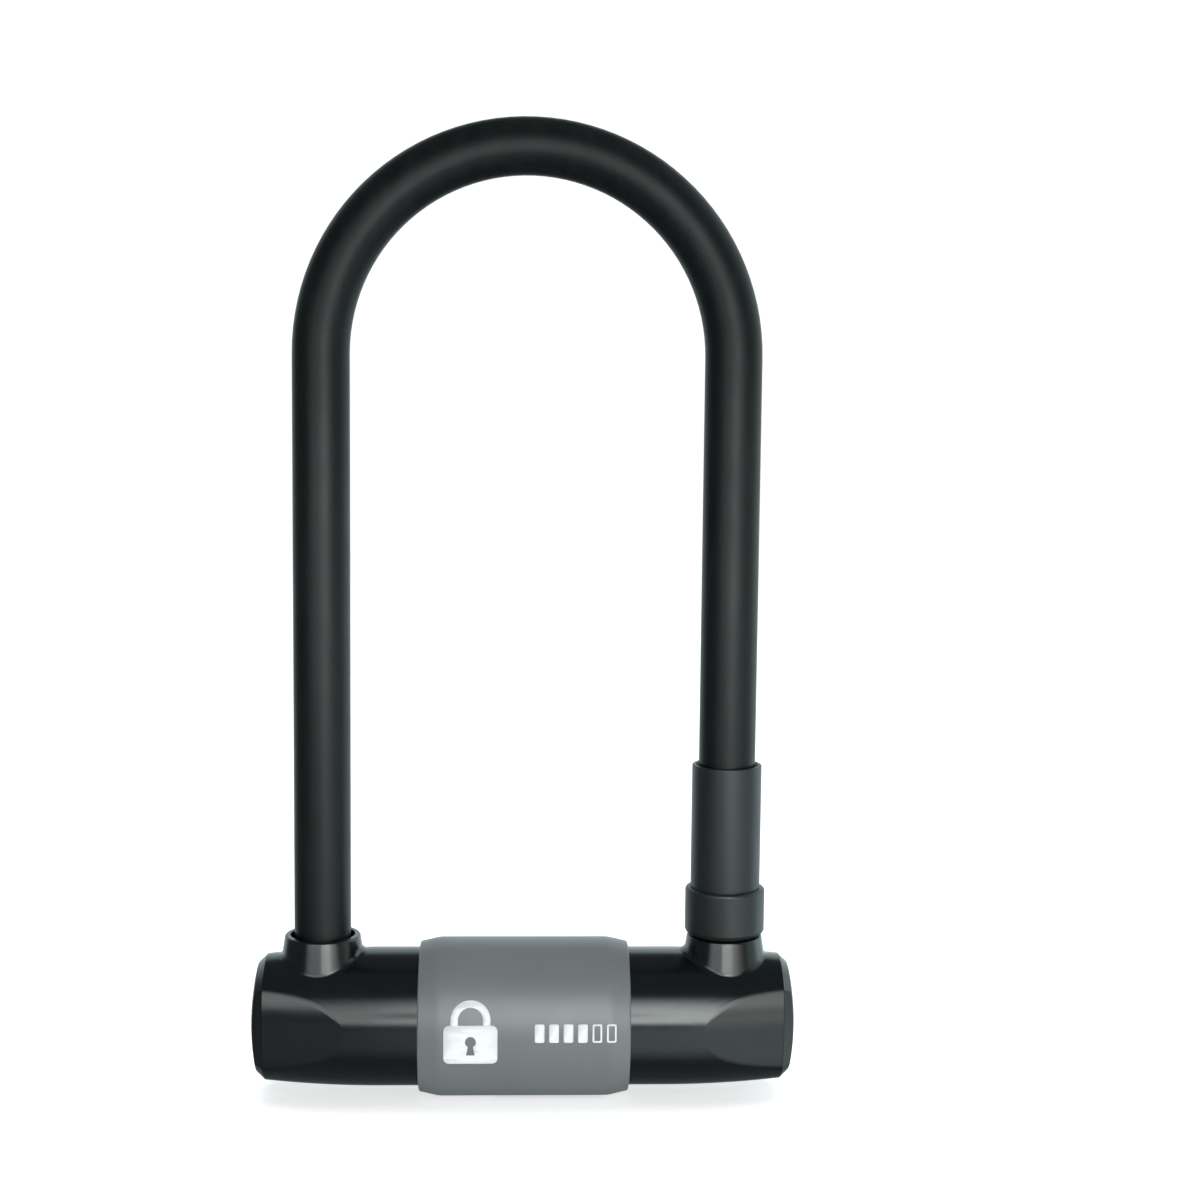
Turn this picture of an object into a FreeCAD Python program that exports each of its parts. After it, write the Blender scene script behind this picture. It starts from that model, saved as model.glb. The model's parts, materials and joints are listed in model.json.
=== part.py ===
"""U lock: a coated steel shackle that plugs into a crossbar holding a double-bolting lock.

Millimetres. X runs along the crossbar, the shackle stands in the XZ plane, +Z is up and the front
faces -Y. Everything is modelled about the crossbar's axis and raised by AXIS_HEIGHT when it is
written, so that the origin is the middle of the underside.
Rest pose: shackle seated, lock open (bolts drawn in), dust cover over the keyway.
"""
import FreeCAD
import Part
import math
import os

# ---- driving dimensions -------------------------------------------------------------------------
FIT = 0.02                  # clearance between pieces that are pressed or bonded together
SLIP = 0.1                  # clearance between pieces that are slid together once
RUN = 0.3                   # clearance round pieces that move

# shackle
COAT_R = 9.0                # vinyl coated leg
CORE_R = 7.0                # hardened steel rod
LEG_X = 64.5                # leg centre from the middle; the bend is a half circle of this radius
BEND_Z = 211.6              # centre of the bend above the crossbar axis
FOOT_Z = -11.0              # lower end of the steel feet
COAT_END_Z = 18.0           # the coating stops here, inside the boss
FOOT_CHAMFER = 1.6
NOTCH_DEPTH = 6.2
NOTCH_PLAY = 0.7            # over and under the bolt, at the notch's floor
NOTCH_FLARE = 3.0           # more at its mouth, so that the bolt draws the foot in

# crossbar skin
COVER_R = 22.0
CROWN_X = 45.0              # beyond this the cover curves in towards its ends
COVER_END_X = 82.2
COVER_END_R = 20.0
COVER_WALL = 2.4            # outside the pockets between its ribs
COVER_POCKETS = ((5.0, 13.0), (14.5, 22.5), (24.0, 31.0), (32.5, 40.0), (41.5, 49.0))
FACET_X = 57.0              # front and back facets start here
FACET_END_Y = 17.2          # and leave this half thickness at the end of the cover
FACET_R = 45.0              # they belly out with this radius from top to bottom
FACET_BLEND = 5.0           # softens the crease round each facet
CAP_EDGE_X = 85.0
CAP_EDGE_R = 17.5
CAP_TOP_X = 87.0
CAP_BLEND = 0.9
CAP_SPIGOT_R = 13.9
SEAM = 0.1                  # visible seam between skin pieces

# centre sleeve
SLEEVE_R = 25.2
SLEEVE_HALF = 33.4
SLEEVE_CHAMFER_X = 27.0
SLEEVE_EDGE_R = 23.75
SLEEVE_BLEND = 10.0
SLEEVE_RIM = 0.7

# bosses on the covers, where the legs plug in
BOSS_TOP_Z = 27.0
BOSS_TOP_R = 12.0
BOSS_TAPER = 0.16           # growth of the radius per millimetre down
BOSS_BLEND = 2.0            # fillet between boss and cover
BOSS_RIM = 0.7
CUP_R = 10.3
CUP_FLOOR_Z = 17.6
BUSH_R = 11.0
FOOT_BORE_R = 7.3

# carrier sleeve on the right leg
CARRIER_R = 11.1
CARRIER_BORE_R = 9.3
CARRIER_SPIGOT_R = 10.2      # the ring is pressed on here
CARRIER_BOTTOM_Z = 30.1
CARRIER_TOP_Z = 82.5
CARRIER_RIM = 0.45
RING_R = 12.75
RING_BOTTOM_Z = 28.0
RING_TOP_Z = 42.6
RING_TAPER = (0.5, 0.9)     # at its lower edge: inwards, upwards
RING_RIM = 1.1
WASHER_R = 10.2
SNAP_Z = 78.0               # groove that keeps the carrier sleeve on the leg

# steel tube and the blocks inside it
TUBE_R = 15.5
TUBE_BORE_R = 12.7
TUBE_HALF = 77.0
BLOCK_R = TUBE_BORE_R - SLIP
GUIDE_X0, GUIDE_X1 = 50.0, 73.9
FRAME_HALF = 20.0

# bolts and cam
BOLT_R = 5.5
BOLT_Z = 5.5
BOLT_BORE_R = 5.8
BOLT_INNER_X = 1.0
BOLT_TIP_X = 57.0
BOLT_CHAMFER = 2.0
BOLT_TRAVEL = 6.0           # over half a turn of the key
PIN_R = 1.25
PIN_X = 2.85                # bolt pin from the cam's axis, lock open
SLOT_HALF = 1.4
CAM_R = 11.3
CAM_TOP_Z = -0.3
CAM_FLANGE_Z = -3.8
CAM_BOTTOM_Z = -5.3
CAM_HUB_R = 7.0
SLOT_FLOOR_Z = -2.5
TAIL_SIDE = 5.0
TAIL_TOP_Z = -3.6
GUIDE_PIN_R = 1.5           # roll pins that hold the guide blocks in the tube
GUIDE_PIN_X = 53.5
GUIDE_PIN_Z = -6.5

# lock cylinder, its axis along Z in the middle of the underside
HOUSING_R = 9.5
HOUSING_TOP_Z = -5.6
PLUG_R = 6.55
PLUG_BORE_R = 5.45
PLUG_TOP_Z = -7.3
PLUG_BOTTOM_Z = -18.2
DISC_R = 5.4
DISC_THICK = 1.2
DISC_GAP = 0.3
DISC_COUNT = 6
DISC_TOP_Z = -9.0
KEYWAY = (7.2, 2.6)
SIDEBAR_R = 0.9
SIDEBAR_Y = 5.5
GUARD_Z = (-19.6, -18.3)
SNAP_RING_Z = (-20.4, -19.7)
CYLINDER_PIN_R = 1.2        # roll pins that hold the housing in the tube
CYLINDER_PIN_X = 9.0
CYLINDER_PIN_Z = -13.2

# dust cover, a curved shutter that slides along X
SHUTTER_IN_R = 22.35
SHUTTER_OUT_R = 24.4
SHUTTER_HALF = 9.0
SHUTTER_TRAVEL = 16.0
SHUTTER_ANGLE = 15.0
TONGUE_ANGLE = 20.0
TONGUE_OUT_R = 22.85

AXIS_HEIGHT = SLEEVE_R
V = FreeCAD.Vector
X, Y, Z = V(1, 0, 0), V(0, 1, 0), V(0, 0, 1)
ORIGIN = V(0, 0, 0)


# ---- helpers ------------------------------------------------------------------------------------
def rod(radius, start, end):
    """A round bar between two points."""
    along = end - start
    return Part.makeCylinder(radius, along.Length, start, along)


def pipe(r_out, r_in, start, end):
    """A round tube between two points."""
    return rod(r_out, start, end).cut(rod(r_in, start, end))


def block(x0, x1, y0, y1, z0, z1):
    return Part.makeBox(x1 - x0, y1 - y0, z1 - z0, V(x0, y0, z0))


def turned(edges, centre, axis):
    """The solid swept by a closed outline turned once about an axis."""
    return Part.Face(Part.Wire(edges)).revolve(centre, axis, 360)


def outline(points):
    """Straight edges round a closed list of points."""
    return [Part.LineSegment(a, b).toShape() for a, b in zip(points, points[1:] + points[:1])]


def turned_about_leg(points):
    """A piece turned about the right leg, from (radius, height) points."""
    return turned(outline([V(LEG_X + r, 0, z) for r, z in points]), V(LEG_X, 0, 0), Z)


def mirrored(shape):
    """The same piece on the other side of the middle plane."""
    return shape.mirror(ORIGIN, X)


def joined(shapes):
    return shapes[0].multiFuse(shapes[1:]).removeSplitter()


def rounded(shape, radius, wanted):
    """Fillets the edges that wanted picks."""
    return shape.makeFillet(radius, [edge for edge in shape.Edges if wanted(edge)])


def circle_at(z, radius, x=LEG_X):
    """Picks a full circular edge of that height and radius about a vertical axis through x."""
    def wanted(edge):
        curve = edge.Curve
        return (isinstance(curve, Part.Circle) and abs(curve.Radius - radius) < 1e-3
                and abs(curve.Center.z - z) < 1e-3 and abs(curve.Center.x - x) < 1e-3)
    return wanted


def bent_bar(radius, low_z):
    """A bar of the shackle's shape whose legs reach down to low_z."""
    legs = [rod(radius, V(side * LEG_X, 0, low_z), V(side * LEG_X, 0, BEND_Z)) for side in (-1, 1)]
    section = Part.Face(Part.Wire(Part.makeCircle(radius, V(LEG_X, 0, BEND_Z), Z)))
    return joined([*legs, section.revolve(V(0, 0, BEND_Z), Y, -180)])


def curved_plate(r_in, r_out, half_angle, x0, x1):
    """A strip along X, curved about the crossbar's axis, centred on the underside."""
    def point(radius, degrees):
        turn = math.radians(degrees)
        return V(x0, radius * math.sin(turn), -radius * math.cos(turn))
    a = half_angle
    edges = [
        Part.Arc(point(r_out, -a), point(r_out, 0), point(r_out, a)).toShape(),
        Part.LineSegment(point(r_out, a), point(r_in, a)).toShape(),
        Part.Arc(point(r_in, a), point(r_in, 0), point(r_in, -a)).toShape(),
        Part.LineSegment(point(r_in, -a), point(r_out, -a)).toShape(),
    ]
    return Part.Face(Part.Wire(edges)).extrude(V(x1 - x0, 0, 0))


def bellied(x0, y0, x1, y1):
    """What stays behind a front and a back face that taper from y0 at x0 to y1 at x1.

    Each face is part of a lying cylinder, so that every section across X is curved with FACET_R."""
    tilt = math.atan2(y0 - y1, x1 - x0)
    along = V(math.cos(tilt), math.sin(tilt), 0)
    outwards = V(math.sin(tilt), -math.cos(tilt), 0)
    radius = FACET_R / math.cos(tilt)
    middle = V(x0, -y0, 0) - outwards * radius
    reach = along * (2 * radius)
    front = rod(radius, middle - reach, middle + reach)
    return front.common(front.mirror(ORIGIN, Y))


# ---- shackle ------------------------------------------------------------------------------------
def foot_notch():
    """What is milled out of the right foot for the bolt."""
    mouth_x, floor_x, wide = LEG_X - CORE_R, LEG_X - CORE_R + NOTCH_DEPTH, CORE_R + 1
    floor, mouth = BOLT_R + NOTCH_PLAY, BOLT_R + NOTCH_PLAY + NOTCH_FLARE
    points = [V(mouth_x, -wide, BOLT_Z - mouth), V(floor_x, -wide, BOLT_Z - floor),
              V(floor_x, -wide, BOLT_Z + floor), V(mouth_x, -wide, BOLT_Z + mouth)]
    return Part.Face(Part.Wire(outline(points))).extrude(V(0, 2 * wide, 0))


def shackle_core():
    bar = bent_bar(CORE_R, FOOT_Z)
    tips = [edge for edge in bar.Edges
            if isinstance(edge.Curve, Part.Circle) and abs(edge.Curve.Center.z - FOOT_Z) < 1e-3]
    bar = bar.makeChamfer(FOOT_CHAMFER, tips)
    notch = foot_notch()
    return bar.cut([notch, mirrored(notch)])


def shackle_coating():
    skin = bent_bar(COAT_R, COAT_END_Z).cut(bent_bar(CORE_R + FIT, COAT_END_Z - 1))
    ends = [edge for edge in skin.Edges
            if isinstance(edge.Curve, Part.Circle) and abs(edge.Curve.Center.z - COAT_END_Z) < 1e-3
            and abs(edge.Curve.Radius - COAT_R) < 1e-3]
    skin = skin.makeFillet(0.6, ends)
    groove = pipe(COAT_R + 1, COAT_R - 0.35, V(LEG_X, 0, SNAP_Z), V(LEG_X, 0, SNAP_Z + 1.2))
    return skin.cut(groove)


def bumper_washer():
    return pipe(WASHER_R, COAT_R + FIT, V(LEG_X, 0, BOSS_TOP_Z + SLIP),
                V(LEG_X, 0, RING_BOTTOM_Z - SLIP))


def sleeve_snap_ring():
    ring = pipe(COAT_R + 0.8, COAT_R - 0.3, V(LEG_X, 0, SNAP_Z + 0.1), V(LEG_X, 0, SNAP_Z + 1.1))
    return ring.cut(block(LEG_X - 1.5, LEG_X + 1.5, 0, 2 * COAT_R, SNAP_Z, SNAP_Z + 2))


# ---- carrier sleeve -----------------------------------------------------------------------------
def carrier_sleeve():
    lead_in = 0.7
    sleeve = turned_about_leg([
        (CARRIER_BORE_R, CARRIER_BOTTOM_Z), (CARRIER_SPIGOT_R, CARRIER_BOTTOM_Z),
        (CARRIER_SPIGOT_R, RING_TOP_Z + FIT), (CARRIER_R, RING_TOP_Z + FIT),
        (CARRIER_R, CARRIER_TOP_Z), (CARRIER_BORE_R + lead_in, CARRIER_TOP_Z),
        (CARRIER_BORE_R, CARRIER_TOP_Z - 2 * lead_in)])
    sleeve = rounded(sleeve, CARRIER_RIM, circle_at(CARRIER_TOP_Z, CARRIER_R))
    return sleeve.cut(rod(COAT_R + 0.8 + RUN, V(LEG_X, 0, SNAP_Z), V(LEG_X, 0, SNAP_Z + 1.2)))


def carrier_ring():
    inwards, upwards = RING_TAPER
    ring = turned_about_leg([
        (CARRIER_BORE_R, RING_BOTTOM_Z), (RING_R - inwards, RING_BOTTOM_Z),
        (RING_R, RING_BOTTOM_Z + upwards), (RING_R, RING_TOP_Z),
        (CARRIER_SPIGOT_R + FIT, RING_TOP_Z), (CARRIER_SPIGOT_R + FIT, CARRIER_BOTTOM_Z - FIT),
        (CARRIER_BORE_R, CARRIER_BOTTOM_Z - FIT)])
    return rounded(ring, RING_RIM, circle_at(RING_TOP_Z, RING_R))


# ---- crossbar skin ------------------------------------------------------------------------------
def crown_arc(x0, r0, x1, r1):
    """The arc that leaves (x0, r0) level and ends at (x1, r1)."""
    run, drop = x1 - x0, r0 - r1
    radius = (run * run + drop * drop) / (2 * drop)
    middle = 0.5 * math.asin(run / radius)
    on_arc = V(x0 + radius * math.sin(middle), 0, r0 - radius * (1 - math.cos(middle)))
    return Part.Arc(V(x0, 0, r0), on_arc, V(x1, 0, r1)).toShape()


def boss_radius(z):
    return BOSS_TOP_R + BOSS_TAPER * (BOSS_TOP_Z - z)


def right_cover():
    seam = SEAM / 2
    axis_in, axis_out = V(seam, 0, 0), V(COVER_END_X, 0, 0)
    start, crown, end = V(seam, 0, COVER_R), V(CROWN_X, 0, COVER_R), V(COVER_END_X, 0, COVER_END_R)
    skin = turned([
        Part.LineSegment(axis_in, start).toShape(),
        Part.LineSegment(start, crown).toShape(),
        crown_arc(CROWN_X, COVER_R, COVER_END_X, COVER_END_R),
        Part.LineSegment(end, axis_out).toShape(),
        Part.LineSegment(axis_out, axis_in).toShape()], ORIGIN, X)
    skin.rotate(ORIGIN, X, 180)
    skin = skin.common(bellied(FACET_X, COVER_R - 0.25, COVER_END_X, FACET_END_Y))
    skin = rounded(skin, FACET_BLEND, lambda e: min(e.BoundBox.XLength, e.BoundBox.ZLength) > 20)
    boss = turned_about_leg([(0, 0), (boss_radius(0), 0), (BOSS_TOP_R, BOSS_TOP_Z), (0, BOSS_TOP_Z)])
    skin = joined([skin, boss])

    def junction(edge):
        ends = [vertex.Point for vertex in edge.Vertexes] + [edge.valueAt(edge.FirstParameter)]
        on_boss = [abs(math.hypot(p.x - LEG_X, p.y) - boss_radius(p.z)) < 1e-3 for p in ends]
        return all(on_boss) and edge.BoundBox.ZMax < BOSS_TOP_Z - 1 and edge.BoundBox.ZLength > 0.5
    skin = rounded(skin, BOSS_BLEND, junction)
    skin = rounded(skin, BOSS_RIM, circle_at(BOSS_TOP_Z, BOSS_TOP_R))
    shell = skin.cut([
        rod(TUBE_R + SLIP, ORIGIN, V(TUBE_HALF + SLIP, 0, 0)),
        rod(CAP_SPIGOT_R + SLIP, ORIGIN, V(COVER_END_X + 1, 0, 0)),
        rod(CUP_R, V(LEG_X, 0, 0), V(LEG_X, 0, BOSS_TOP_Z + 1)),
        rod(BUSH_R + SLIP, V(LEG_X, 0, 0), V(LEG_X, 0, CUP_FLOOR_Z)),
        rod(HOUSING_R + 2 * SLIP, V(0, 0, -2 * COVER_R), ORIGIN)])
    pockets = [pipe(COVER_R - COVER_WALL, TUBE_R - 1, V(x0, 0, 0), V(x1, 0, 0))
               for x0, x1 in COVER_POCKETS]
    shell = shell.cut(pockets)
    # a wall round the lock cylinder, where the first pockets would open into its hole
    boss = pipe(HOUSING_R + 2, HOUSING_R + 2 * SLIP, V(0, 0, -COVER_R), ORIGIN)
    boss = boss.common(pipe(COVER_R - COVER_WALL / 2, TUBE_R + SLIP,
                            V(seam, 0, 0), V(HOUSING_R + 4, 0, 0)))
    boss = boss.common(block(0, HOUSING_R + 4, -COVER_R, COVER_R, -COVER_R, 0))
    return joined([shell, boss])


def right_end_cap():
    x0 = COVER_END_X + SEAM
    centre, edge, top = V(x0, 0, 0), V(CAP_EDGE_X, 0, CAP_EDGE_R), V(CAP_TOP_X, 0, 0)
    rim = V(x0, 0, COVER_END_R - 0.05)
    sagitta = CAP_TOP_X - CAP_EDGE_X
    dome = (CAP_EDGE_R ** 2 + sagitta ** 2) / (2 * sagitta)
    half = 0.5 * math.asin(CAP_EDGE_R / dome)
    on_dome = V(CAP_TOP_X - dome * (1 - math.cos(half)), 0, dome * math.sin(half))
    cap = turned([
        Part.LineSegment(centre, rim).toShape(),
        Part.LineSegment(rim, edge).toShape(),
        Part.Arc(edge, on_dome, top).toShape(),
        Part.LineSegment(top, centre).toShape()], ORIGIN, X)
    inset = COVER_END_R - CAP_EDGE_R
    flat_y = FACET_END_Y - 0.05
    cap = cap.common(bellied(x0, flat_y, CAP_EDGE_X, flat_y - inset))
    cap = rounded(cap, CAP_BLEND, lambda e: CAP_EDGE_X - 0.2 < e.CenterOfMass.x < CAP_EDGE_X + 0.75)
    spigot = rod(CAP_SPIGOT_R, V(TUBE_HALF + 2 * SLIP, 0, 0), V(x0 + 0.5, 0, 0))
    return joined([cap, spigot])


def right_leg_bush():
    bush = pipe(BUSH_R, FOOT_BORE_R, V(LEG_X, 0, 0), V(LEG_X, 0, CUP_FLOOR_Z - SLIP))
    return bush.cut(rod(TUBE_R + FIT, ORIGIN, V(2 * LEG_X, 0, 0)))


def right_seal():
    low, high = 20.5, 23.0
    return turned_about_leg([
        (COAT_R + RUN, high), (CUP_R - FIT, high), (CUP_R - FIT, low), (COAT_R + 0.7, low)])


def center_sleeve():
    """Grey sleeve with tapered ends, a window for the shutter and a track under its lips."""
    bore = COVER_R + SLIP
    points = [(-SLEEVE_HALF, bore), (-SLEEVE_HALF, SLEEVE_EDGE_R), (-SLEEVE_CHAMFER_X, SLEEVE_R),
              (SLEEVE_CHAMFER_X, SLEEVE_R), (SLEEVE_HALF, SLEEVE_EDGE_R), (SLEEVE_HALF, bore)]
    sleeve = turned(outline([V(x, 0, r) for x, r in points]), ORIGIN, X)

    def on_rim(radius):
        return lambda e: isinstance(e.Curve, Part.Circle) and abs(e.Curve.Radius - radius) < 1e-3
    sleeve = rounded(sleeve, SLEEVE_RIM, on_rim(SLEEVE_EDGE_R))
    sleeve = rounded(sleeve, SLEEVE_BLEND, on_rim(SLEEVE_R))
    x0, x1 = -SHUTTER_HALF - 0.2, SHUTTER_HALF + SHUTTER_TRAVEL + 0.2
    window = curved_plate(COVER_R - 1, SLEEVE_R + 1, SHUTTER_ANGLE + 0.5, x0, x1)
    track = curved_plate(COVER_R - 1, TONGUE_OUT_R + RUN, TONGUE_ANGLE + 0.5, x0, x1)
    return sleeve.cut([window, track])


def dust_cover():
    x0, x1 = -SHUTTER_HALF, SHUTTER_HALF
    plate = curved_plate(SHUTTER_IN_R, SHUTTER_OUT_R, SHUTTER_ANGLE, x0, x1)
    tongues = curved_plate(SHUTTER_IN_R, TONGUE_OUT_R, TONGUE_ANGLE, x0, x1)
    pitch, ridge = 2.4, 1.0
    ridges = [curved_plate(SHUTTER_OUT_R - 0.3, SLEEVE_R - 0.15, 11, x0 + 2 + n * pitch,
                           x0 + 2 + n * pitch + ridge) for n in range(4)]
    return joined([plate, tongues, *ridges])


# ---- steel tube and its blocks ------------------------------------------------------------------
def lock_tube():
    tube = pipe(TUBE_R, TUBE_BORE_R, V(-TUBE_HALF, 0, 0), V(TUBE_HALF, 0, 0))
    holes = [rod(FOOT_BORE_R + SLIP, V(side * LEG_X, 0, 0), V(side * LEG_X, 0, 20))
             for side in (-1, 1)]
    holes.append(rod(HOUSING_R + SLIP, V(0, 0, -20), V(0, 0, -7.4)))
    holes += [rod(CYLINDER_PIN_R + FIT, V(side * CYLINDER_PIN_X, -20, CYLINDER_PIN_Z),
                  V(side * CYLINDER_PIN_X, 20, CYLINDER_PIN_Z)) for side in (-1, 1)]
    holes += [rod(GUIDE_PIN_R + FIT, V(side * GUIDE_PIN_X, -20, GUIDE_PIN_Z),
                  V(side * GUIDE_PIN_X, 20, GUIDE_PIN_Z)) for side in (-1, 1)]
    return tube.cut(holes)


def cross_pins(radius, x, z):
    """A pair of roll pins across the tube, flush with its outside."""
    half = math.sqrt(TUBE_R ** 2 - (abs(z) + radius) ** 2) - 0.05
    pins = [pipe(radius, 0.45 * radius, V(side * x, -half, z), V(side * x, half, z))
            for side in (-1, 1)]
    return Part.makeCompound(pins)


def right_guide_block():
    guide = rod(BLOCK_R, V(GUIDE_X0, 0, 0), V(GUIDE_X1, 0, 0))
    return guide.cut([
        rod(FOOT_BORE_R, V(LEG_X, 0, FOOT_Z - 0.3), V(LEG_X, 0, 20)),
        rod(BOLT_BORE_R, V(GUIDE_X0 - 1, 0, BOLT_Z), V(LEG_X, 0, BOLT_Z)),
        rod(GUIDE_PIN_R + FIT, V(GUIDE_PIN_X, -20, GUIDE_PIN_Z), V(GUIDE_PIN_X, 20, GUIDE_PIN_Z))])


def right_tube_plug():
    return rod(TUBE_BORE_R - FIT, V(GUIDE_X1 + SLIP, 0, 0), V(TUBE_HALF, 0, 0))


def mechanism_frame():
    frame = rod(BLOCK_R, V(-FRAME_HALF, 0, 0), V(FRAME_HALF, 0, 0))
    return frame.cut([
        rod(BOLT_BORE_R, V(-FRAME_HALF - 1, 0, BOLT_Z), V(FRAME_HALF + 1, 0, BOLT_Z)),
        rod(CAM_R + 0.3, V(0, 0, -20), V(0, 0, CAM_TOP_Z + 0.3))])


# ---- bolts and cam ------------------------------------------------------------------------------
def right_bolt():
    bolt = rod(BOLT_R, V(BOLT_INNER_X, 0, BOLT_Z), V(BOLT_TIP_X, 0, BOLT_Z))
    tip = [edge for edge in bolt.Edges if abs(edge.CenterOfMass.x - BOLT_TIP_X) < 1e-3]
    bolt = bolt.makeChamfer(BOLT_CHAMFER, tip)
    return bolt.cut(rod(PIN_R + FIT, V(PIN_X, 0, -1), V(PIN_X, 0, BOLT_Z + 1.1)))


def right_bolt_pin():
    return rod(PIN_R, V(PIN_X, 0, SLOT_FLOOR_Z + 0.2), V(PIN_X, 0, BOLT_Z + 1))


def spiral_slot():
    """A slot whose radius grows in proportion to its angle, so that bolt and key stay in ratio."""
    rise = BOLT_TRAVEL / math.pi
    steps = 16

    def at(angle, side):
        radius = PIN_X + rise * angle
        centre = V(radius * math.cos(angle), -radius * math.sin(angle), 0)
        along = V(rise * math.cos(angle) - radius * math.sin(angle),
                  -rise * math.sin(angle) - radius * math.cos(angle), 0).normalize()
        return centre + V(-along.y, along.x, 0) * (side * SLOT_HALF), along

    angles = [math.pi * n / steps for n in range(steps + 1)]
    walls = []
    for side in (1, -1):
        wall = Part.BSplineCurve()
        wall.interpolate([at(angle, side)[0] for angle in angles])
        walls.append(wall.toShape())
    ends = []
    for angle, way in ((0.0, -1), (math.pi, 1)):
        (a, along), (b, _) = at(angle, 1), at(angle, -1)
        ends.append(Part.Arc(a, (a + b) * 0.5 + along * (way * SLOT_HALF), b).toShape())
    face = Part.Face(Part.Wire(Part.__sortEdges__([*walls, *ends])))
    slot = face.extrude(V(0, 0, CAM_TOP_Z - SLOT_FLOOR_Z + 1))
    return slot.translated(V(0, 0, SLOT_FLOOR_Z))


def cam_plate():
    cam = joined([rod(CAM_R, V(0, 0, CAM_FLANGE_Z), V(0, 0, CAM_TOP_Z)),
                  rod(CAM_HUB_R, V(0, 0, CAM_BOTTOM_Z), V(0, 0, CAM_FLANGE_Z))])
    slot = spiral_slot()
    other = slot.rotated(ORIGIN, Z, 180)
    half = TAIL_SIDE / 2 + FIT
    socket = block(-half, half, -half, half, CAM_BOTTOM_Z - 1, TAIL_TOP_Z + 0.1)
    return cam.cut([slot, other, socket])


# ---- lock cylinder ------------------------------------------------------------------------------
def keyway_cut(z0, z1):
    long, short = KEYWAY
    return block(-long / 2, long / 2, -short / 2, short / 2, z0, z1)


def cylinder_housing():
    body = rod(HOUSING_R, V(0, 0, -COVER_R), V(0, 0, HOUSING_TOP_Z))
    body = body.common(rod(COVER_R, V(-20, 0, 0), V(20, 0, 0)))
    groove = rod(PLUG_R + 0.6, V(0, 0, SNAP_RING_Z[0] - 0.05), V(0, 0, SNAP_RING_Z[1] + 0.05))
    cuts = [rod(PLUG_R + SLIP, V(0, 0, -30), V(0, 0, PLUG_TOP_Z + 0.2)),
            rod(TAIL_SIDE * 0.72 + SLIP, V(0, 0, -10), V(0, 0, 0)), groove,
            rod(SIDEBAR_R, V(0, PLUG_R + SLIP, -18.3), V(0, PLUG_R + SLIP, -8.8))]
    cuts += [rod(CYLINDER_PIN_R + FIT, V(side * CYLINDER_PIN_X, -20, CYLINDER_PIN_Z),
                 V(side * CYLINDER_PIN_X, 20, CYLINDER_PIN_Z)) for side in (-1, 1)]
    return body.cut(cuts)


def plug_snap_ring():
    ring = pipe(PLUG_R + 0.55, PLUG_R - 0.7, V(0, 0, SNAP_RING_Z[0]), V(0, 0, SNAP_RING_Z[1]))
    return ring.cut(block(-1.2, 1.2, 0, 10, -30, 0))


def cylinder_plug():
    barrel = rod(PLUG_R, V(0, 0, PLUG_BOTTOM_Z), V(0, 0, PLUG_TOP_Z))
    neck = rod(TAIL_SIDE * 0.72, V(0, 0, PLUG_TOP_Z), V(0, 0, HOUSING_TOP_Z))
    half = TAIL_SIDE / 2
    tail = block(-half, half, -half, half, HOUSING_TOP_Z - 0.5, TAIL_TOP_Z)
    plug = joined([barrel, neck, tail])
    low, high = PLUG_BOTTOM_Z - 1, DISC_TOP_Z + 0.1
    slot = block(-SIDEBAR_R - 0.05, SIDEBAR_R + 0.05, 0, PLUG_R + 1, low, high)
    return plug.cut([rod(PLUG_BORE_R, V(0, 0, low), V(0, 0, high)), slot])


def stack(radius, thick, first_top, count, pitch, opening):
    """Equal discs under each other, all with the keyway and a gate for the sidebar."""
    discs = []
    for n in range(count):
        top = first_top - n * pitch
        disc = rod(radius, V(0, 0, top - thick), V(0, 0, top))
        gate = rod(SIDEBAR_R + 0.08, V(0, SIDEBAR_Y, top - thick - 1), V(0, SIDEBAR_Y, top + 1))
        discs.append(disc.cut([opening(top - thick - 1, top + 1), gate]))
    return Part.makeCompound(discs)


def lock_discs():
    return stack(DISC_R, DISC_THICK, DISC_TOP_Z, DISC_COUNT, DISC_THICK + DISC_GAP, keyway_cut)


def disc_spacers():
    def round_opening(z0, z1):
        return rod(KEYWAY[0] / 2 + 0.1, V(0, 0, z0), V(0, 0, z1))
    clear = 0.02
    return stack(DISC_R, DISC_GAP - 2 * clear, DISC_TOP_Z - DISC_THICK - clear, DISC_COUNT - 1,
                 DISC_THICK + DISC_GAP, round_opening)


def sidebar():
    return rod(SIDEBAR_R, V(0, SIDEBAR_Y, PLUG_BOTTOM_Z + 0.1), V(0, SIDEBAR_Y, DISC_TOP_Z - 0.1))


def guard_disc():
    disc = rod(PLUG_R, V(0, 0, GUARD_Z[0]), V(0, 0, GUARD_Z[1]))
    return disc.cut(keyway_cut(GUARD_Z[0] - 1, GUARD_Z[1] + 1))


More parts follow.
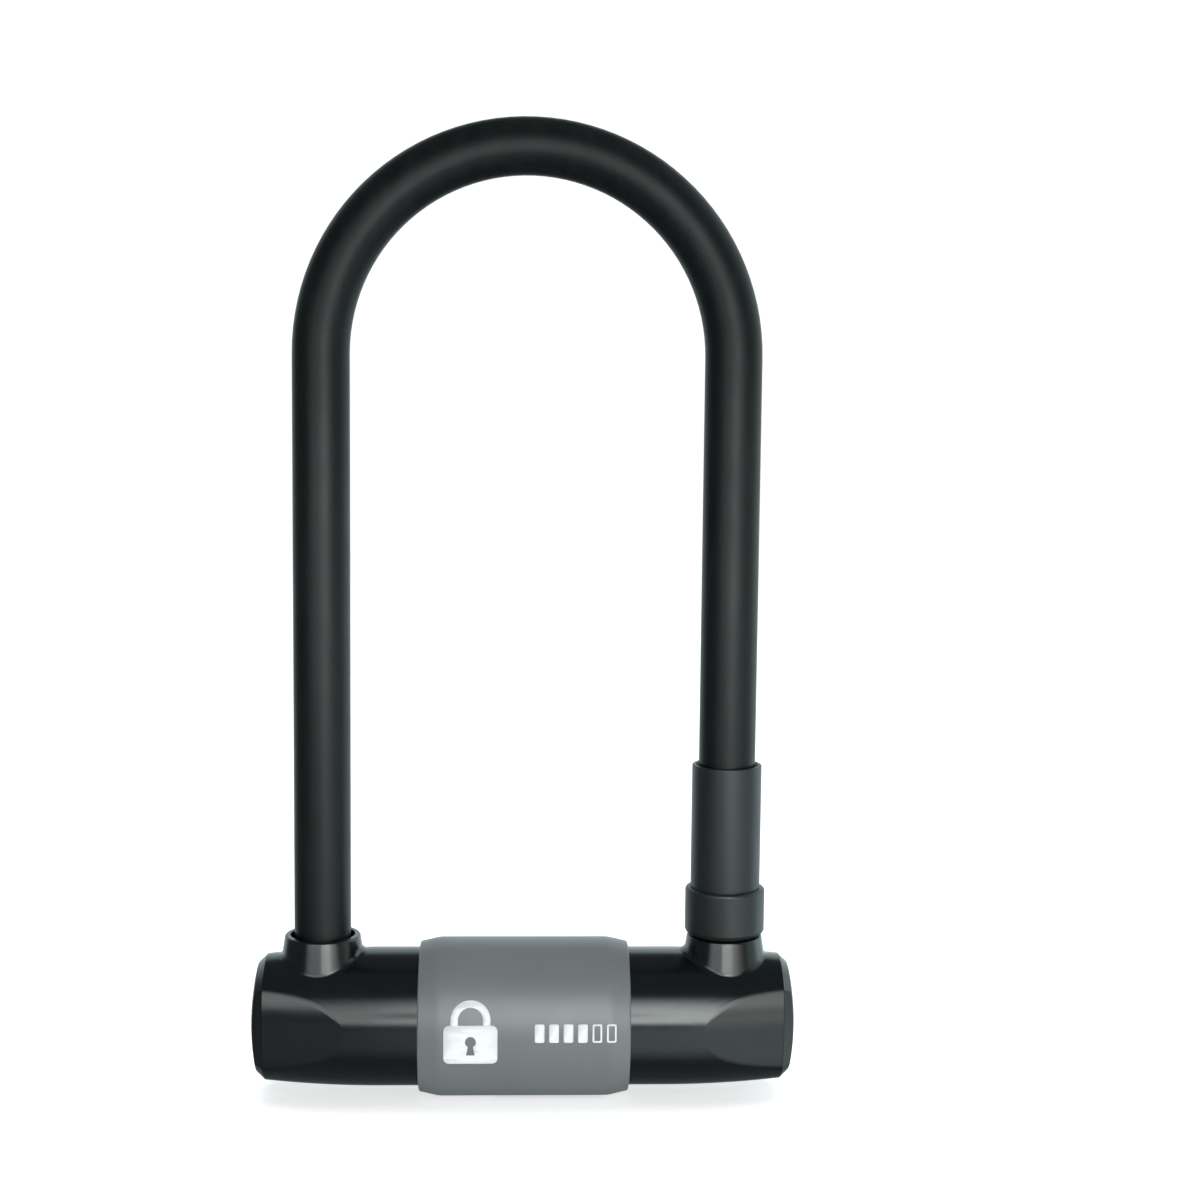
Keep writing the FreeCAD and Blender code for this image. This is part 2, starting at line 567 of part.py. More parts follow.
# ---- assembly -----------------------------------------------------------------------------------
def parts():
    """Every node and its solids."""
    both_sides = {
        "cover": right_cover, "end_cap": right_end_cap, "leg_bush": right_leg_bush, "seal": right_seal,
        "guide_block": right_guide_block, "tube_plug": right_tube_plug, "bolt": right_bolt,
        "bolt_pin": right_bolt_pin}
    made = {
        "shackle_core": shackle_core(), "shackle_coating": shackle_coating(),
        "bumper_washer": bumper_washer(), "sleeve_snap_ring": sleeve_snap_ring(),
        "carrier_sleeve": carrier_sleeve(), "carrier_ring": carrier_ring(),
        "center_sleeve": center_sleeve(), "dust_cover": dust_cover(),
        "lock_tube": lock_tube(), "mechanism_frame": mechanism_frame(),
        "guide_pins": cross_pins(GUIDE_PIN_R, GUIDE_PIN_X, GUIDE_PIN_Z),
        "cylinder_pins": cross_pins(CYLINDER_PIN_R, CYLINDER_PIN_X, CYLINDER_PIN_Z),
        "cam_plate": cam_plate(), "cylinder_housing": cylinder_housing(),
        "plug_snap_ring": plug_snap_ring(), "cylinder_plug": cylinder_plug(),
        "lock_discs": lock_discs(), "disc_spacers": disc_spacers(), "sidebar": sidebar(),
        "guard_disc": guard_disc()}
    for name, build in both_sides.items():
        right = build()
        made["right_" + name] = right
        made["left_" + name] = mirrored(right)
    return made


def main():
    os.makedirs("parts", exist_ok=True)
    for node, shape in parts().items():
        placed = shape.translated(V(0, 0, AXIS_HEIGHT))
        if not placed.isValid() or not placed.Solids:
            raise ValueError(node + " is not a valid solid")
        placed.exportStep("parts/" + node + ".step")
        print(node, len(placed.Solids), round(placed.Volume, 1))


main()
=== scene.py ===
"""Looks for the U lock: materials, prints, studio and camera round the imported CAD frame. Metres."""
import json
import math

import bmesh
import bpy
from mathutils import Matrix, Vector


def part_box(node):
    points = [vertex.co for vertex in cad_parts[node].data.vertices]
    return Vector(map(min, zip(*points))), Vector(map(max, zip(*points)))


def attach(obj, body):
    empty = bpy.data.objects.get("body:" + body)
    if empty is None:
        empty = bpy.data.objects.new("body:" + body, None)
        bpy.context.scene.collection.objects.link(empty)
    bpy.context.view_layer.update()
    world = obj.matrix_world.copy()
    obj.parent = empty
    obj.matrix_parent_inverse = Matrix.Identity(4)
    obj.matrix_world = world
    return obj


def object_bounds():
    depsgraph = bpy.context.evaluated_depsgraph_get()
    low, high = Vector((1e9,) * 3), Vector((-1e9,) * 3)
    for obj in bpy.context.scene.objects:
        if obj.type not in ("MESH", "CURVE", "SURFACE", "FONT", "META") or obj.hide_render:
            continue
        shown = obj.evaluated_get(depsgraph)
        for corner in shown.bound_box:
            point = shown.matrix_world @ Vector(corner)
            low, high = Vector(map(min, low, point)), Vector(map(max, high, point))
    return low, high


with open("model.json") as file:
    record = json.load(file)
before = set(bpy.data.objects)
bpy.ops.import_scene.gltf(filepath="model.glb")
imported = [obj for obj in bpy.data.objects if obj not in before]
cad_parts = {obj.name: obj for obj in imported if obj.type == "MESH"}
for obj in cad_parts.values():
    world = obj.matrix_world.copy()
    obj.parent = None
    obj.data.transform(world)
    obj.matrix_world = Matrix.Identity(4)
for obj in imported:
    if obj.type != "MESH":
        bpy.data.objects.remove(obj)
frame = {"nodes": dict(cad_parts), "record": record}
cad_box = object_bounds()

MM = 0.001
SLEEVE_LOW, SLEEVE_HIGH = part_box("center_sleeve")
AXIS_Z = (SLEEVE_LOW.z + SLEEVE_HIGH.z) / 2         # height of the crossbar's axis
SLEEVE_R = (SLEEVE_HIGH.z - SLEEVE_LOW.z) / 2
WHITE = (1, 1, 1, 1)


# ---- camera -------------------------------------------------------------------------------------
CAMERA_PLACE = Vector((-4.4 * MM, -651.7 * MM, AXIS_Z + 203.6 * MM))
CAMERA_YAW = math.radians(-2.43)                    # a little to the right
CAMERA_PITCH = math.radians(90 - 6.0)               # 6 degrees below level
CAMERA_ROLL = math.radians(0.6)
LENS_MM, SENSOR_MM = 62.1, 36
CLIP_NEAR, CLIP_FAR = 0.02, 50


def make_camera():
    """The view from the front, slightly from above."""
    data = bpy.data.cameras.new("camera")
    data.lens = LENS_MM
    data.sensor_width = SENSOR_MM
    data.clip_start = CLIP_NEAR
    data.clip_end = CLIP_FAR
    camera = bpy.data.objects.new("camera", data)
    turn = (Matrix.Rotation(CAMERA_YAW, 4, "Z") @ Matrix.Rotation(CAMERA_PITCH, 4, "X")
            @ Matrix.Rotation(CAMERA_ROLL, 4, "Z"))
    camera.matrix_world = Matrix.Translation(CAMERA_PLACE) @ turn
    bpy.context.collection.objects.link(camera)
    bpy.context.scene.camera = camera


# ---- node helpers -------------------------------------------------------------------------------
NOISE_RANGE = (0.3, 0.7)            # most values of a noise lie between these


class Nodes:
    """Short names for the nodes that the materials and the studio are made of."""

    def __init__(self, tree):
        self.tree = tree

    def add(self, kind, **settings):
        node = self.tree.nodes.new(kind)
        for name, value in settings.items():
            setattr(node, name, value)
        return node

    def feed(self, socket, value):
        if isinstance(value, bpy.types.NodeSocket):
            self.tree.links.new(value, socket)
        else:
            socket.default_value = value

    def math(self, operation, a, b=0.0):
        node = self.add("ShaderNodeMath", operation=operation)
        self.feed(node.inputs[0], a)
        self.feed(node.inputs[1], b)
        return node.outputs[0]

    def spread(self, value, low, high, to_low, to_high, smooth=False):
        """A number from low..high to to_low..to_high, clamped."""
        node = self.add("ShaderNodeMapRange")
        node.interpolation_type = "SMOOTHSTEP" if smooth else "LINEAR"
        for socket, given in zip(node.inputs, (value, low, high, to_low, to_high)):
            self.feed(socket, given)
        return node.outputs[0]

    def mix(self, share, a, b):
        """Between two colours."""
        node = self.add("ShaderNodeMix", data_type="RGBA")
        colours = [s for s in node.inputs if s.type == "RGBA"]
        self.feed(node.inputs[0], share)
        self.feed(colours[0], a)
        self.feed(colours[1], b)
        return next(s for s in node.outputs if s.type == "RGBA")

    def tint(self, value, window, below, above):
        """One colour where the value is below the window, another where it is above."""
        return self.mix(self.spread(value, *window, 0, 1), below, above)

    def uneven(self, noise, limits):
        """A number that wanders between the limits with the noise."""
        return self.spread(noise, *NOISE_RANGE, *limits)

    def place(self, stretch=(1, 1, 1)):
        """Metres in the piece's own frame, optionally scaled along each axis."""
        place = self.add("ShaderNodeTexCoord").outputs["Object"]
        mapping = self.add("ShaderNodeMapping")
        self.feed(mapping.inputs["Vector"], place)
        self.feed(mapping.inputs["Scale"], stretch)
        return mapping.outputs[0]

    def noise(self, per_metre, detail=2.0, stretch=(1, 1, 1), rough=0.5):
        """Cloudy noise; a stretch under 1 along an axis draws it out along that axis."""
        node = self.add("ShaderNodeTexNoise")
        self.feed(node.inputs["Vector"], self.place(stretch))
        self.feed(node.inputs["Scale"], float(per_metre))
        self.feed(node.inputs["Detail"], detail)
        self.feed(node.inputs["Roughness"], rough)
        return node.outputs[0]

    def specks(self, per_metre, radius, share):
        """1 in round dots of that radius (in cells) that turn up in a share of the cells."""
        node = self.add("ShaderNodeTexVoronoi")
        self.feed(node.inputs["Vector"], self.place())
        self.feed(node.inputs["Scale"], float(per_metre))
        chosen = self.add("ShaderNodeSeparateColor")
        self.feed(chosen.inputs[0], node.outputs["Color"])
        dot = self.spread(node.outputs["Distance"], radius, radius * 0.4, 0, 1)
        kept = self.math("LESS_THAN", chosen.outputs[0], share)
        return self.math("MULTIPLY", dot, kept)

    def bump(self, height, depth, before=None):
        """Adds relief of that depth in metres, on top of the one before."""
        node = self.add("ShaderNodeBump")
        self.feed(node.inputs["Height"], height)
        self.feed(node.inputs["Distance"], depth)
        if before is not None:
            self.feed(node.inputs["Normal"], before)
        return node.outputs[0]


def new_look(name, **sockets):
    """A material with a principled shader whose plain sockets are set."""
    material = bpy.data.materials.new(name)
    material.use_nodes = True
    nodes = Nodes(material.node_tree)
    shader = material.node_tree.nodes["Principled BSDF"]
    for socket, value in sockets.items():
        shader.inputs[socket.replace("_", " ")].default_value = value
    return material, nodes, shader


def rgb(red, green, blue):
    """An opaque colour."""
    return (red, green, blue, 1.0)


# ---- materials ----------------------------------------------------------------------------------
# gloss is the two limits of the roughness, grain is in waves per metre
SINK_DEPTH = 0.01 * MM


def moulded(name, dark, light, gloss, grain, depth, specular=0.5):
    """Moulded plastic: spark-eroded grain of that depth, faint sink marks, uneven gloss."""
    material, nodes, shader = new_look(name, Specular_IOR_Level=specular)
    cloud = nodes.noise(per_metre=45, detail=3)
    nodes.feed(shader.inputs["Base Color"], nodes.tint(cloud, NOISE_RANGE, dark, light))
    smudge = nodes.noise(per_metre=120, detail=4, stretch=(1, 1, 0.4))
    nodes.feed(shader.inputs["Roughness"], nodes.uneven(smudge, gloss))
    sink = nodes.bump(nodes.noise(per_metre=70, detail=1), SINK_DEPTH)
    relief = nodes.bump(nodes.noise(grain, detail=3, rough=0.6), depth, sink)
    nodes.feed(shader.inputs["Normal"], relief)
    return material


BEND_DULLS = (0.15, 0.27)           # between these heights the coat grows duller
COAT_SHEEN = (0.24, 0.14)           # specular level below them and above them
COAT_DARK, COAT_LIGHT = rgb(0.0036, 0.0048, 0.0047), rgb(0.0060, 0.0076, 0.0075)
DUST = rgb(0.16, 0.17, 0.17)
PEBBLE_DEPTH, WAVE_DEPTH = 0.035 * MM, 0.06 * MM


def vinyl_coat():
    """Dipped vinyl: matt, finely pebbled, faint drag marks along the leg, a few specks of dust."""
    material, nodes, shader = new_look("vinyl_coat")
    drag = nodes.noise(per_metre=260, detail=3, stretch=(1, 1, 0.12))
    skin = nodes.tint(drag, (0.35, 0.7), COAT_DARK, COAT_LIGHT)
    dust = nodes.specks(per_metre=170, radius=0.028, share=0.16)
    nodes.feed(shader.inputs["Base Color"], nodes.mix(dust, skin, DUST))
    cloud = nodes.noise(per_metre=60, detail=4)
    nodes.feed(shader.inputs["Roughness"], nodes.uneven(cloud, (0.36, 0.43)))
    axes = nodes.add("ShaderNodeSeparateXYZ")
    nodes.feed(axes.inputs[0], nodes.place())
    sheen = nodes.spread(axes.outputs["Z"], *BEND_DULLS, *COAT_SHEEN, smooth=True)
    nodes.feed(shader.inputs["Specular IOR Level"], sheen)
    pebble = nodes.bump(nodes.noise(per_metre=1500, detail=3, rough=0.65), PEBBLE_DEPTH)
    wave = nodes.noise(per_metre=90, detail=1, stretch=(1, 1, 0.5))
    nodes.feed(shader.inputs["Normal"], nodes.bump(wave, WAVE_DEPTH, pebble))
    return material


RUBBER_BLACK, RUBBER_BLOOM = rgb(0.008, 0.008, 0.008), rgb(0.022, 0.022, 0.021)
RUBBER_GRAIN_DEPTH = 0.03 * MM


def rubber():
    """Soft black rubber with a greyish bloom."""
    material, nodes, shader = new_look("black_rubber", Specular_IOR_Level=0.35)
    bloom = nodes.noise(per_metre=300, detail=4)
    nodes.feed(shader.inputs["Base Color"],
               nodes.tint(bloom, (0.4, 0.75), RUBBER_BLACK, RUBBER_BLOOM))
    nodes.feed(shader.inputs["Roughness"], nodes.uneven(bloom, (0.68, 0.82)))
    grain = nodes.noise(per_metre=2500, detail=2)
    nodes.feed(shader.inputs["Normal"], nodes.bump(grain, RUBBER_GRAIN_DEPTH))
    return material


STAIN_SHADE = (0.95, 0.93, 0.88)    # stained metal is a little warmer
TOOL_MARK_DEPTH = 0.004 * MM


def metal(name, colour, gloss, stretch, stain=0.15):
    """Metal with tool marks that the stretch draws out, darkened by that share where stained."""
    material, nodes, shader = new_look(name, Metallic=1.0)
    cloud = nodes.noise(per_metre=90, detail=4)
    dull = rgb(*[c * (1 - stain) * shade for c, shade in zip(colour, STAIN_SHADE)])
    nodes.feed(shader.inputs["Base Color"], nodes.tint(cloud, (0.45, 0.75), rgb(*colour), dull))
    marks = nodes.noise(per_metre=2200, detail=3, stretch=stretch)
    nodes.feed(shader.inputs["Roughness"], nodes.uneven(marks, gloss))
    nodes.feed(shader.inputs["Normal"], nodes.bump(marks, TOOL_MARK_DEPTH))
    return material


FROST_SHADE = 0.7
FROST_DEPTH, PIT_DEPTH = 0.02 * MM, 0.03 * MM


def cast(name, colour):
    """Pressure cast zinc: frosty, pitted skin."""
    material, nodes, shader = new_look(name, Metallic=1.0)
    frost = nodes.noise(per_metre=700, detail=5, rough=0.7)
    dark = rgb(*[c * FROST_SHADE for c in colour])
    nodes.feed(shader.inputs["Base Color"], nodes.tint(frost, (0.35, 0.7), dark, rgb(*colour)))
    nodes.feed(shader.inputs["Roughness"], nodes.uneven(frost, (0.42, 0.6)))
    pits = nodes.bump(nodes.specks(per_metre=900, radius=0.3, share=0.3), -PIT_DEPTH)
    nodes.feed(shader.inputs["Normal"], nodes.bump(frost, FROST_DEPTH, pits))
    return material


INK_FULL, INK_THIN = rgb(0.93, 0.94, 0.95), rgb(0.84, 0.86, 0.87)
INK_GRAIN_DEPTH = 0.008 * MM


def print_ink():
    """White pad-printed ink, a little greyer where it is thin."""
    material, nodes, shader = new_look("print_ink", Specular_IOR_Level=0.4)
    thin = nodes.noise(per_metre=900, detail=4)
    nodes.feed(shader.inputs["Base Color"], nodes.tint(thin, (0.45, 0.8), INK_FULL, INK_THIN))
    nodes.feed(shader.inputs["Roughness"], nodes.uneven(thin, (0.38, 0.5)))
    grain = nodes.noise(per_metre=3000, detail=2)
    nodes.feed(shader.inputs["Normal"], nodes.bump(grain, INK_GRAIN_DEPTH))
    return material


def make_materials():
    """A material for each slot in the record, and the ink of the prints."""
    along_x, along_z, round_z, no_way = (0.05, 1, 1), (1, 1, 0.05), (1, 1, 6), (1, 1, 1)
    return {
        "vinyl_coat": vinyl_coat(),
        "black_rubber": rubber(),
        "cover_plastic": moulded(
            "cover_plastic", rgb(0.0032, 0.0042, 0.0042), rgb(0.0042, 0.0052, 0.0052),
            gloss=(0.15, 0.19), grain=2600, depth=0.0012 * MM),
        "cap_plastic": moulded(
            "cap_plastic", rgb(0.0044, 0.0054, 0.0058), rgb(0.0056, 0.0068, 0.0072),
            gloss=(0.22, 0.28), grain=2600, depth=0.002 * MM),
        "carrier_plastic": moulded(
            "carrier_plastic", rgb(0.0090, 0.0112, 0.0120), rgb(0.0118, 0.0142, 0.0152),
            gloss=(0.34, 0.42), grain=3200, depth=0.012 * MM, specular=0.44),
        "grey_plastic": moulded(
            "grey_plastic", rgb(0.146, 0.159, 0.163), rgb(0.157, 0.171, 0.175),
            gloss=(0.38, 0.45), grain=3000, depth=0.006 * MM, specular=0.6),
        "shutter_plastic": moulded(
            "shutter_plastic", rgb(0.012, 0.013, 0.014), rgb(0.017, 0.018, 0.019),
            gloss=(0.36, 0.46), grain=3000, depth=0.012 * MM),
        "bush_nylon": moulded(
            "bush_nylon", rgb(0.52, 0.51, 0.46), rgb(0.62, 0.61, 0.56),
            gloss=(0.40, 0.5), grain=2500, depth=0.008 * MM),
        "hardened_steel": metal("hardened_steel", (0.40, 0.40, 0.41), (0.26, 0.38), along_z),
        "spring_steel": metal("spring_steel", (0.30, 0.30, 0.31), (0.28, 0.4), no_way),
        "tube_steel": metal("tube_steel", (0.44, 0.45, 0.46), (0.28, 0.38), along_x),
        "housing_steel": metal("housing_steel", (0.46, 0.46, 0.47), (0.24, 0.36), round_z),
        "cam_steel": metal("cam_steel", (0.52, 0.52, 0.52), (0.22, 0.32), round_z),
        "bolt_steel": metal("bolt_steel", (0.55, 0.55, 0.56), (0.18, 0.28), along_x),
        "brass": metal("brass", (0.78, 0.58, 0.28), (0.2, 0.32), round_z, stain=0.25),
        "cast_zinc": cast("cast_zinc", (0.56, 0.57, 0.58)),
        "print_ink": print_ink(),
    }


def dress_nodes(looks):
    """Every CAD node takes the material of its slot in the record."""
    slots = {piece["node"]: piece["material_slot"] for piece in frame["record"]["subparts"]}
    for name, node in frame["nodes"].items():
        for slot in node.material_slots:
            slot.material = looks[slots[name]]


# ---- prints on the grey sleeve; the outlines are in millimetres ---------------------------------
INK_PROUD = 0.03 * MM
STRIP = 1.0 * MM                # the print is cut this fine to follow the curve
CORNER_STEPS = 6


def arc(cx, cy, radius, start, end, steps):
    """Points on an arc, from start to end in degrees."""
    angles = [math.radians(start + (end - start) * n / steps) for n in range(steps + 1)]
    return [(cx + radius * math.cos(a), cy + radius * math.sin(a)) for a in angles]


def rounded_box(x0, y0, x1, y1, radius):
    """A box from its lower left to its upper right corner, with round corners."""
    corners = [(x1 - radius, y1 - radius, 0), (x0 + radius, y1 - radius, 90),
               (x0 + radius, y0 + radius, 180), (x1 - radius, y0 + radius, 270)]
    return [point for cx, cy, start in corners
            for point in arc(cx, cy, radius, start, start + 90, CORNER_STEPS)]


def padlock_outlines():
    """A plain padlock sign about its middle: body with a keyhole, and its bow."""
    half, bottom, top, corner = 8.4, -10.0, 2.6, 1.8
    body = rounded_box(-half, bottom, half, top, corner)
    hole_y, hole_r, slot_half, slot_foot = -2.6, 1.7, 1.35, -7.0
    keyhole = arc(0, hole_y, hole_r, -62, 242, 24)
    keyhole += [(-slot_half, slot_foot), (slot_half, slot_foot)]
    rise, outer, inner, foot = 4.2, 6.2, 3.9, 2.2
    bow = (arc(0, rise, outer, 0, 180, 28) + [(-outer, foot), (-inner, foot)]
           + arc(0, rise, inner, 180, 0, 24) + [(inner, foot), (outer, foot)])
    return [body, keyhole], [bow]


def scale_outlines():
    """A row of six marks, four filled and two open, from the row's lower left corner."""
    count, filled = 6, 4
    wide, tall, pitch, line = 3.0, 5.8, 4.5, 0.55
    corner, inner_corner = 0.5, 0.25
    marks = []
    for n in range(count):
        x = n * pitch
        mark = [rounded_box(x, 0, x + wide, tall, corner)]
        if n >= filled:
            mark.append(rounded_box(x + line, line, x + wide - line, tall - line, inner_corner))
        marks.append(mark)
    return marks


def flat_print(outlines):
    """A filled flat mesh; an outline inside another is a hole."""
    curve = bpy.data.curves.new("outline", "CURVE")
    curve.dimensions = "2D"
    curve.fill_mode = "BOTH"
    for points in outlines:
        line = curve.splines.new("POLY")
        line.points.add(len(points) - 1)
        for spot, (x, y) in zip(line.points, points):
            spot.co = (x * MM, y * MM, 0, 1)
        line.use_cyclic_u = True
    holder = bpy.data.objects.new("outline", curve)
    bpy.context.collection.objects.link(holder)
    evaluated = holder.evaluated_get(bpy.context.evaluated_depsgraph_get())
    mesh = bpy.data.meshes.new_from_object(evaluated)
    bpy.data.objects.remove(holder)
    return mesh


def print_on_sleeve(name, groups, x, z, look):
    """Prints the outlines round the sleeve's front, their origin at x and at z from the axis."""
    bm = bmesh.new()
    for outlines in groups:
        mesh = flat_print(outlines)
        bm.from_mesh(mesh)
        bpy.data.meshes.remove(mesh)
    heights = [vertex.co.y for vertex in bm.verts]
    level = min(heights) + STRIP
    while level < max(heights):
        everything = bm.verts[:] + bm.edges[:] + bm.faces[:]
        bmesh.ops.bisect_plane(bm, geom=everything, plane_co=(0, level, 0), plane_no=(0, 1, 0))
        level += STRIP
    bmesh.ops.recalc_face_normals(bm, faces=bm.faces[:])
    radius = SLEEVE_R + INK_PROUD
    for vertex in bm.verts:
        turn = math.asin(z / SLEEVE_R) + vertex.co.y / SLEEVE_R
        height = AXIS_Z + radius * math.sin(turn)
        vertex.co = Vector((x + vertex.co.x, -radius * math.cos(turn), height))
    for face in bm.faces:
        face.normal_update()
        if face.normal.y > 0:
            face.normal_flip()
        face.smooth = True
    mesh = bpy.data.meshes.new(name)
    bm.to_mesh(mesh)
    bm.free()
    mesh.materials.append(look)
    piece = bpy.data.objects.new(name, mesh)
    bpy.context.collection.objects.link(piece)
    film = piece.modifiers.new("film", "SOLIDIFY")
    film.thickness = 2 * INK_PROUD                  # half of it is sunk in the sleeve
    film.offset = -1
    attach(piece, "crossbar")


# ---- studio -------------------------------------------------------------------------------------
def soft_window(nodes, value, rise, fall):
    """1 between the inner ends of rise and fall, easing to 0 at their outer ends."""
    up = nodes.spread(value, rise[0], rise[1], 0, 1, smooth=True)
    down = nodes.spread(value, fall[0], fall[1], 1, 0, smooth=True)
    return nodes.math("MULTIPLY", up, down)


# Patches of light round the object, in degrees: where each rises and falls in azimuth (0 is the
# front, + is right), the same in elevation, then its strength and its colour.
COOL, PLAIN = (0.84, 1.0, 1.01, 1), (1.0, 0.985, 0.95, 1)
NO_START, NO_END = (-501, -500), (500, 501)
SURROUNDINGS = [
    ((6, 20), (40, 60), (-14, -4), (-2, 10), 1.5, PLAIN),       # lamp's spill on the table
    ((-60, -15), (-4, 4), (-62, -34), (-12, -2), 0.30, COOL),   # lit table, left
    ((-4, 4), (50, 85), (-70, -34), (-10, 0), 1.35, COOL),      # lit table, right
    ((50, 80), (110, 130), (-60, -30), (40, 70), 0.75, COOL),   # right wall
    ((85, 115), NO_END, (-40, -10), (30, 45), 1.1, COOL),       # backdrop, right half
    (NO_START, (-140, -112), (-40, -10), (30, 45), 0.85, COOL),     # backdrop, left half
]
DARK = 0.15                                         # strength everywhere between the patches
BACKDROP = 1.05                                     # strength of the white that the camera sees

# The softbox stands just behind the camera. Each edge fades between two places, in metres; those
# in z are from the crossbar's axis.
SOFTBOX_Y = -0.70
SOFTBOX_COLOUR = (0.93, 1.0, 0.99, 1)
SOFTBOX_X, SOFTBOX_Z = ((-0.84, -0.46), (0.36, 0.74)), ((-0.01, 0.07), (0.16, 0.80))
LAMP_X = ((-0.085, -0.035), (0.17, 0.40))           # the lamp behind it, brighter
SOFTBOX_LIGHT, LAMP_LIGHT = 3.3, 5.9
CAMERA_SHADE = (0.05, 0.09)                         # radii between which the shade fades out

FLOOR_R, FLOOR_SIDES = 2.2, 96
FLOOR_GLOW = 0.62
FLOOR_DARK, FLOOR_LIGHT = rgb(0.84, 0.84, 0.84), rgb(0.88, 0.88, 0.88)
# area lights: place, size and power in watts; each looks at the middle of the crossbar
LIGHTS = {
    "overhead": ((0.1, 0.1, 1.7), (1.8, 1.8), 22),
    "front": ((0.15, -1.3, 0.75), (0.9, 0.7), 5),
}


def make_world():
    """White to the camera; to the object, dark with the patches of light by direction."""
    world = bpy.data.worlds.new("studio")
    bpy.context.scene.world = world
    world.use_nodes = True
    nodes = Nodes(world.node_tree)
    where = nodes.add("ShaderNodeTexCoord").outputs["Generated"]
    axes = nodes.add("ShaderNodeSeparateXYZ")
    nodes.feed(axes.inputs[0], where)
    right, away, up = axes.outputs
    toward = nodes.math("MULTIPLY", away, -1.0)
    azimuth = nodes.math("DEGREES", nodes.math("ARCTAN2", right, toward))
    elevation = nodes.math("DEGREES", nodes.math("ARCSINE", up))
    total = world.node_tree.nodes["Background"]
    total.inputs["Color"].default_value = COOL
    total.inputs["Strength"].default_value = DARK
    for rise_a, fall_a, rise_e, fall_e, light, colour in SURROUNDINGS:
        window = nodes.math("MULTIPLY", soft_window(nodes, azimuth, rise_a, fall_a),
                            soft_window(nodes, elevation, rise_e, fall_e))
        patch = nodes.add("ShaderNodeBackground")
        patch.inputs["Color"].default_value = colour
        nodes.feed(patch.inputs["Strength"], nodes.math("MULTIPLY", window, light))
        both = nodes.add("ShaderNodeAddShader")
        nodes.feed(both.inputs[0], total.outputs[0])
        nodes.feed(both.inputs[1], patch.outputs[0])
        total = both
    white = nodes.add("ShaderNodeBackground")
    white.inputs["Strength"].default_value = BACKDROP
    white.inputs["Color"].default_value = WHITE
    chosen = nodes.add("ShaderNodeMixShader")
    nodes.feed(chosen.inputs[0], nodes.add("ShaderNodeLightPath").outputs["Is Camera Ray"])
    nodes.feed(chosen.inputs[1], total.outputs[0])
    nodes.feed(chosen.inputs[2], white.outputs[0])
    nodes.feed(world.node_tree.nodes["World Output"].inputs["Surface"], chosen.outputs[0])


def soft_light(name, place, size, power):
    """A white area light on the crossbar's middle that shows neither itself nor a reflection."""
    data = bpy.data.lights.new(name, "AREA")
    data.shape = "RECTANGLE"
    data.size, data.size_y = size
    data.energy = power
    light = bpy.data.objects.new(name, data)
    light.location = place
    aim = Vector((0, 0, AXIS_Z)) - Vector(place)
    light.rotation_euler = aim.to_track_quat("-Z", "Y").to_euler()
    light.visible_camera = False
    light.visible_glossy = False
    bpy.context.collection.objects.link(light)


def make_floor():
    """A round pale table with a little light of its own, so that only shadows show on it."""
    bm = bmesh.new()
    bmesh.ops.create_circle(bm, cap_ends=True, segments=FLOOR_SIDES, radius=FLOOR_R)
    mesh = bpy.data.meshes.new("floor")
    bm.to_mesh(mesh)
    bm.free()
    material, nodes, shader = new_look("floor", Roughness=0.9, Specular_IOR_Level=0.1)
    cloud = nodes.noise(per_metre=3, detail=2)
    nodes.feed(shader.inputs["Base Color"], nodes.mix(cloud, FLOOR_DARK, FLOOR_LIGHT))
    shader.inputs["Emission Color"].default_value = WHITE
    shader.inputs["Emission Strength"].default_value = FLOOR_GLOW
    mesh.materials.append(material)
    floor = bpy.data.objects.new("floor", mesh)
    floor.location.z = cad_box[0].z
    floor.visible_glossy = False
    bpy.context.collection.objects.link(floor)


def glowing_sheet(name, corners, place, light, colour):
    """A see-through sheet that only adds light of its own, and only to reflections.

    light builds the nodes for its strength.
    """
    bm = bmesh.new()
    bm.faces.new([bm.verts.new(corner) for corner in corners])
    mesh = bpy.data.meshes.new(name)
    bm.to_mesh(mesh)
    bm.free()
    material = bpy.data.materials.new(name)
    material.use_nodes = True
    material.node_tree.nodes.clear()
    nodes = Nodes(material.node_tree)
    glow = nodes.add("ShaderNodeEmission")
    glow.inputs["Color"].default_value = colour
    nodes.feed(glow.inputs["Strength"], light(nodes))
    both = nodes.add("ShaderNodeAddShader")
    nodes.feed(both.inputs[0], glow.outputs[0])
    nodes.feed(both.inputs[1], nodes.add("ShaderNodeBsdfTransparent").outputs[0])
    nodes.feed(nodes.add("ShaderNodeOutputMaterial").inputs["Surface"], both.outputs[0])
    mesh.materials.append(material)
    sheet = bpy.data.objects.new(name, mesh)
    sheet.location = place
    sheet.visible_camera = False
    sheet.visible_diffuse = False
    sheet.visible_shadow = False
    bpy.context.collection.objects.link(sheet)


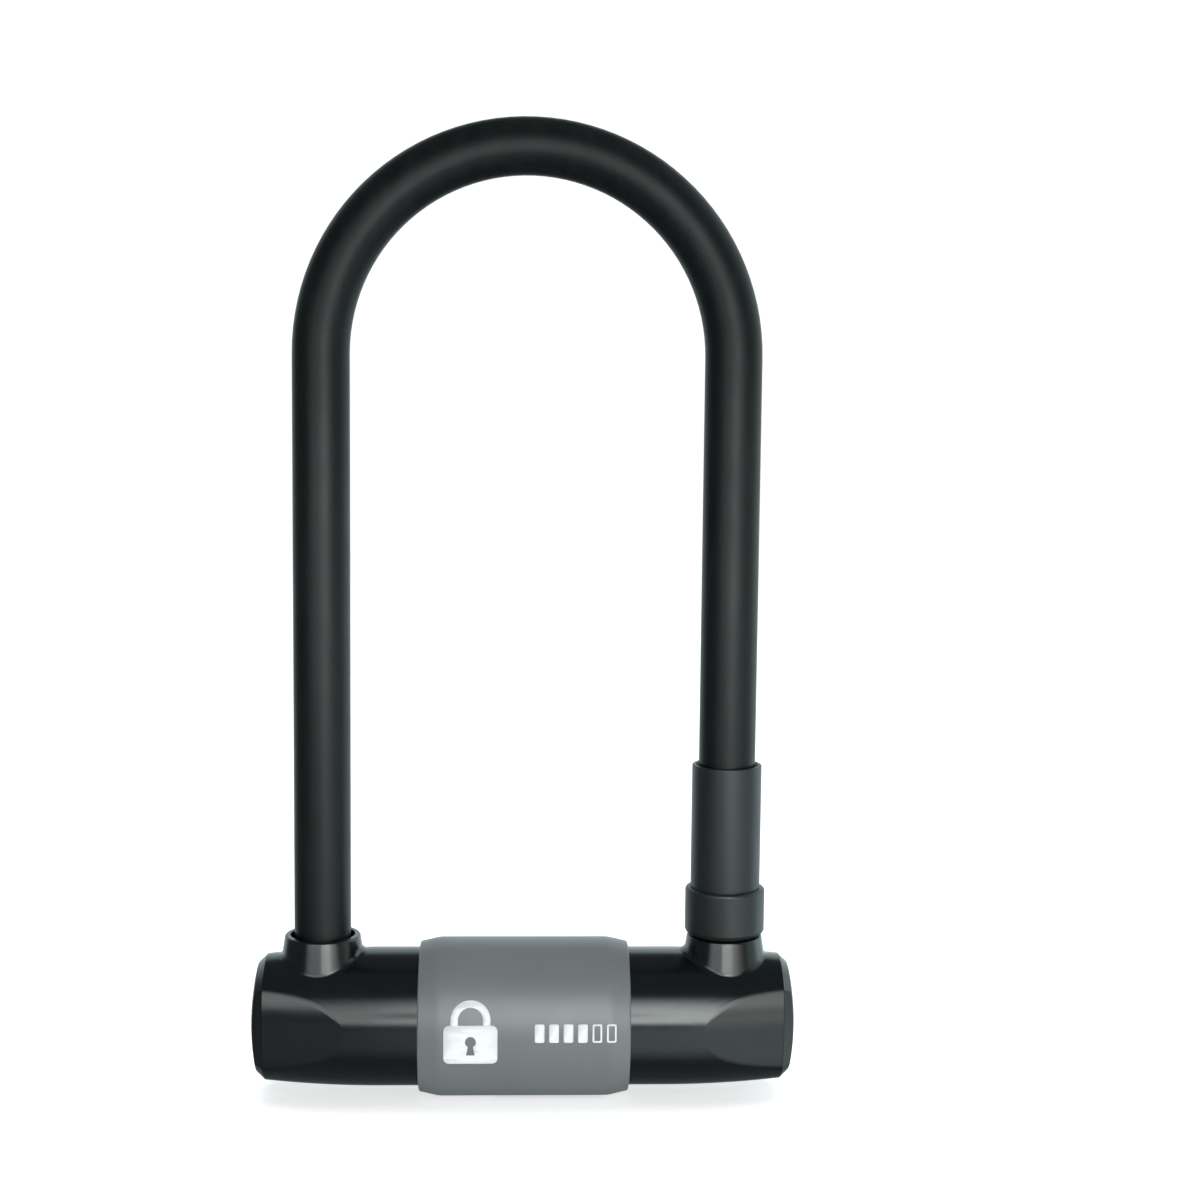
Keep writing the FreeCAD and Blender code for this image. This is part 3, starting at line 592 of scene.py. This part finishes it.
def make_softbox():
    """Upright diffuser behind the camera, with a lamp in it; the camera leaves a shade in it."""
    def light(nodes):
        """The diffuser and the lamp, both cut off above and below and shaded by the camera."""
        axes = nodes.add("ShaderNodeSeparateXYZ")
        nodes.feed(axes.inputs[0], nodes.place())
        across, _, up = axes.outputs
        diffuser = nodes.math("MULTIPLY", soft_window(nodes, across, *SOFTBOX_X), SOFTBOX_LIGHT)
        lamp = nodes.math("MULTIPLY", soft_window(nodes, across, *LAMP_X), LAMP_LIGHT)
        off_x = nodes.math("SUBTRACT", across, CAMERA_PLACE.x)
        off_z = nodes.math("SUBTRACT", up, CAMERA_PLACE.z - AXIS_Z)
        square = nodes.math("ADD", nodes.math("POWER", off_x, 2.0), nodes.math("POWER", off_z, 2.0))
        away = nodes.math("SQRT", square)
        shade = nodes.spread(away, *CAMERA_SHADE, 0, 1, smooth=True)
        tall = nodes.math("MULTIPLY", soft_window(nodes, up, *SOFTBOX_Z), shade)
        return nodes.math("MULTIPLY", nodes.math("ADD", diffuser, lamp), tall)

    (left, _), (_, right) = SOFTBOX_X
    (low, _), (_, high) = SOFTBOX_Z
    corners = [(left, 0, low), (right, 0, low), (right, 0, high), (left, 0, high)]
    glowing_sheet("softbox", corners, (0, SOFTBOX_Y, AXIS_Z), light, SOFTBOX_COLOUR)


def make_studio():
    """Surroundings, softbox, table and the two area lights."""
    make_world()
    make_softbox()
    make_floor()
    for name, (place, size, power) in LIGHTS.items():
        soft_light(name, place, size, power)
    bpy.context.scene.view_settings.view_transform = "Standard"


# ---- assembly -----------------------------------------------------------------------------------
# where each print's origin goes: x from the crossbar's middle, z from its axis
SIGN_X, SIGN_Z = -16.7 * MM, 1.8 * MM
MARKS_X, MARKS_Z = 3.3 * MM, -1.05 * MM

make_camera()
looks = make_materials()
dress_nodes(looks)
print_on_sleeve("sign_print", padlock_outlines(), SIGN_X, SIGN_Z, looks["print_ink"])
print_on_sleeve("marks_print", scale_outlines(), MARKS_X, MARKS_Z, looks["print_ink"])
make_studio()
